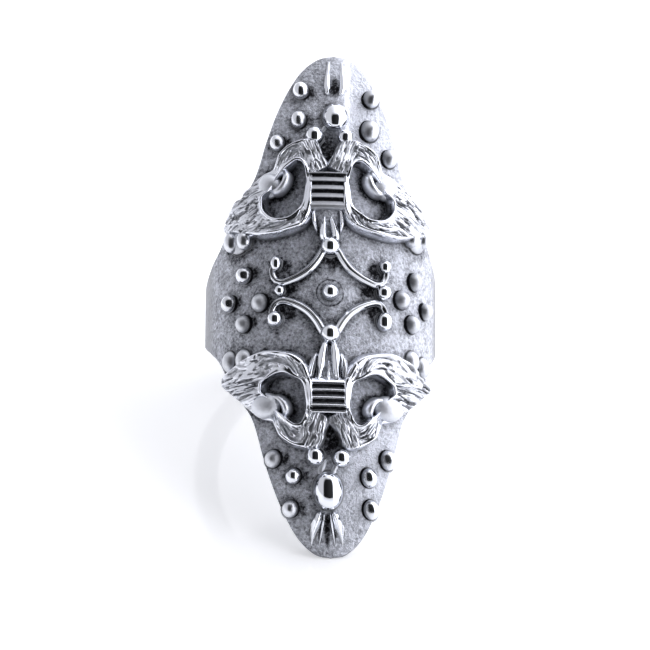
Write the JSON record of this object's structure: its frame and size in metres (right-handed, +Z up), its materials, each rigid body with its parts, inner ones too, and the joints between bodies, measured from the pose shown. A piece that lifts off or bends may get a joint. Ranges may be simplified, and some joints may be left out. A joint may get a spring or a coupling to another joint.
{
  "type": "textured ring",
  "caption": "Long pointed saddle ring of cast silver with raised scrolls, collars and beads on a satin face, and a plain band behind.",
  "frame": {"origin": "on the floor, at the middle of the ring's footprint as it leans on its lower tip and the back of its band", "axes": "+Z up, +Y from the lower tip towards the upper tip along the floor, +X to the viewer's right when facing the ornament"},
  "size_m": [0.022, 0.0394, 0.0298],
  "materials": {
    "cast_silver": "cast silver, satin on the face and band, polished on beads and rims, oxidised dark in the recesses"
  },
  "bodies": {
    "root": {"ring": "cast_silver"}
  },
  "joints": []
}
